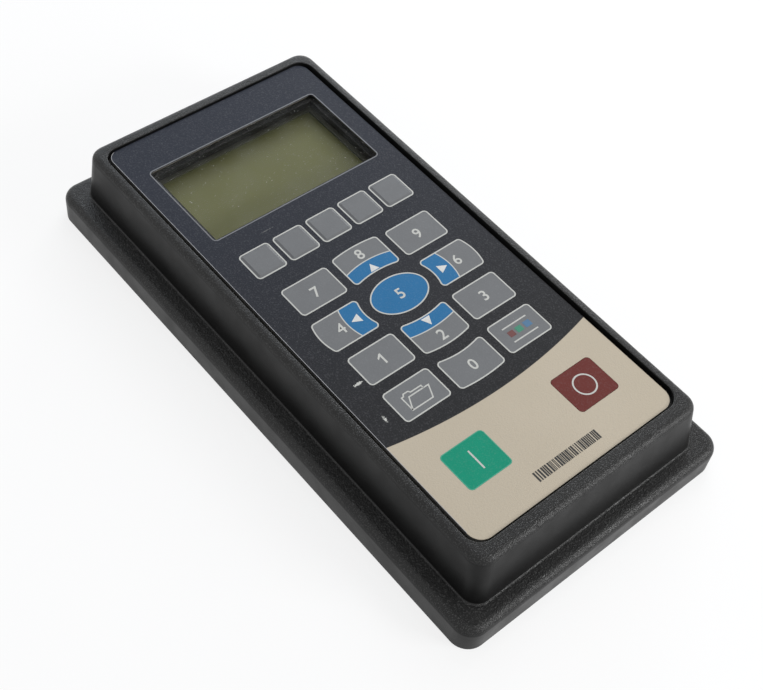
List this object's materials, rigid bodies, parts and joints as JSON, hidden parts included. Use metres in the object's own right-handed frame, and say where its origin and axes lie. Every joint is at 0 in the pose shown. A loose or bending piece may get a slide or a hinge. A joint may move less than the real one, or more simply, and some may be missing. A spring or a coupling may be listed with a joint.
{
  "type": "drive keypad",
  "caption": "Flat panel-mount keypad for a motor drive: raised black housing on a flange, membrane face with a display, number keys, arrow ring, start and stop.",
  "frame": {"origin": "middle of the flat rear face that lies on the panel", "axes": "+Z out of the panel through the face, +Y up the face from the start and stop keys to the display, +X to the right as the face is read"},
  "size_m": [0.093, 0.18, 0.025],
  "materials": {
    "housing_plastic": "fine-grained near-black moulding",
    "cover_plastic": "plain black moulding",
    "gasket_foam": "closed-cell foam",
    "insert_brass": "turned brass",
    "screw_steel": "zinc-plated steel",
    "overlay_film": "printed matt film, dark slate with a cream foot",
    "spacer_film": "plain polyester",
    "circuit_film": "amber film with printed tracks",
    "dome_steel": "spring steel",
    "window_clear": "clear polycarbonate",
    "frame_metal": "black-painted steel",
    "display_green": "olive display glass",
    "guide_white": "milky acrylic",
    "strip_rubber": "grey conductive rubber",
    "board_green": "green solder mask",
    "chip_black": "black moulded resin",
    "small_part_tan": "ceramic",
    "capacitor_sleeve": "dark sleeve",
    "connector_white": "ivory nylon",
    "contact_gold": "gold-plated",
    "key_grey": "printed mid grey",
    "key_blue": "printed blue",
    "key_green": "printed green",
    "key_red": "printed dark red"
  },
  "bodies": {
    "housing": {"front_housing": "housing_plastic", "rear_cover": "cover_plastic", "panel_gasket": "gasket_foam", "panel_inserts": "insert_brass", "cover_screws": "screw_steel", "board_screws": "screw_steel", "graphic_overlay": "overlay_film", "keypad_spacer": "spacer_film", "keypad_circuit": "circuit_film", "snap_domes": "dome_steel", "display_window": "window_clear", "display_seal": "gasket_foam", "display_frame": "frame_metal", "display_glass": "display_green", "light_guide": "guide_white", "contact_strips": "strip_rubber", "main_board": "board_green", "circuit_chips": "chip_black", "board_small_parts": "small_part_tan", "quartz_crystal": "screw_steel", "power_capacitors": "capacitor_sleeve", "tail_connector": "connector_white", "cable_socket": "chip_black", "socket_shell": "screw_steel", "socket_contacts": "contact_gold"},
    "key_7_body": {"key_7": "key_grey"},
    "key_8_body": {"key_8": "key_grey"},
    "key_9_body": {"key_9": "key_grey"},
    "key_4_body": {"key_4": "key_grey"},
    "key_5_body": {"key_5": "key_blue"},
    "key_6_body": {"key_6": "key_grey"},
    "key_1_body": {"key_1": "key_grey"},
    "key_2_body": {"key_2": "key_grey"},
    "key_3_body": {"key_3": "key_grey"},
    "key_0_body": {"key_0": "key_grey"},
    "key_folder_body": {"key_folder": "key_grey"},
    "key_bars_body": {"key_bars": "key_grey"},
    "key_start_body": {"key_start": "key_green"},
    "key_stop_body": {"key_stop": "key_red"},
    "soft_key_1_body": {"soft_key_1": "key_grey"},
    "soft_key_2_body": {"soft_key_2": "key_grey"},
    "soft_key_3_body": {"soft_key_3": "key_grey"},
    "soft_key_4_body": {"soft_key_4": "key_grey"},
    "soft_key_5_body": {"soft_key_5": "key_grey"}
  },
  "joints": [
    {"name": "key_7_press", "type": "slide", "parent": "housing", "child": "key_7_body", "axis": [0, 0, -1], "range_m": [0, 0.0003], "stiffness_N_per_m": 4000},
    {"name": "key_8_press", "type": "slide", "parent": "housing", "child": "key_8_body", "axis": [0, 0, -1], "range_m": [0, 0.0003], "stiffness_N_per_m": 4000},
    {"name": "key_9_press", "type": "slide", "parent": "housing", "child": "key_9_body", "axis": [0, 0, -1], "range_m": [0, 0.0003], "stiffness_N_per_m": 4000},
    {"name": "key_4_press", "type": "slide", "parent": "housing", "child": "key_4_body", "axis": [0, 0, -1], "range_m": [0, 0.0003], "stiffness_N_per_m": 4000},
    {"name": "key_5_press", "type": "slide", "parent": "housing", "child": "key_5_body", "axis": [0, 0, -1], "range_m": [0, 0.0003], "stiffness_N_per_m": 4000},
    {"name": "key_6_press", "type": "slide", "parent": "housing", "child": "key_6_body", "axis": [0, 0, -1], "range_m": [0, 0.0003], "stiffness_N_per_m": 4000},
    {"name": "key_1_press", "type": "slide", "parent": "housing", "child": "key_1_body", "axis": [0, 0, -1], "range_m": [0, 0.0003], "stiffness_N_per_m": 4000},
    {"name": "key_2_press", "type": "slide", "parent": "housing", "child": "key_2_body", "axis": [0, 0, -1], "range_m": [0, 0.0003], "stiffness_N_per_m": 4000},
    {"name": "key_3_press", "type": "slide", "parent": "housing", "child": "key_3_body", "axis": [0, 0, -1], "range_m": [0, 0.0003], "stiffness_N_per_m": 4000},
    {"name": "key_0_press", "type": "slide", "parent": "housing", "child": "key_0_body", "axis": [0, 0, -1], "range_m": [0, 0.0003], "stiffness_N_per_m": 4000},
    {"name": "key_folder_press", "type": "slide", "parent": "housing", "child": "key_folder_body", "axis": [0, 0, -1], "range_m": [0, 0.0003], "stiffness_N_per_m": 4000},
    {"name": "key_bars_press", "type": "slide", "parent": "housing", "child": "key_bars_body", "axis": [0, 0, -1], "range_m": [0, 0.0003], "stiffness_N_per_m": 4000},
    {"name": "key_start_press", "type": "slide", "parent": "housing", "child": "key_start_body", "axis": [0, 0, -1], "range_m": [0, 0.0003], "stiffness_N_per_m": 4000},
    {"name": "key_stop_press", "type": "slide", "parent": "housing", "child": "key_stop_body", "axis": [0, 0, -1], "range_m": [0, 0.0003], "stiffness_N_per_m": 4000},
    {"name": "soft_key_1_press", "type": "slide", "parent": "housing", "child": "soft_key_1_body", "axis": [0, 0, -1], "range_m": [0, 0.0003], "stiffness_N_per_m": 4000},
    {"name": "soft_key_2_press", "type": "slide", "parent": "housing", "child": "soft_key_2_body", "axis": [0, 0, -1], "range_m": [0, 0.0003], "stiffness_N_per_m": 4000},
    {"name": "soft_key_3_press", "type": "slide", "parent": "housing", "child": "soft_key_3_body", "axis": [0, 0, -1], "range_m": [0, 0.0003], "stiffness_N_per_m": 4000},
    {"name": "soft_key_4_press", "type": "slide", "parent": "housing", "child": "soft_key_4_body", "axis": [0, 0, -1], "range_m": [0, 0.0003], "stiffness_N_per_m": 4000},
    {"name": "soft_key_5_press", "type": "slide", "parent": "housing", "child": "soft_key_5_body", "axis": [0, 0, -1], "range_m": [0, 0.0003], "stiffness_N_per_m": 4000}
  ]
}
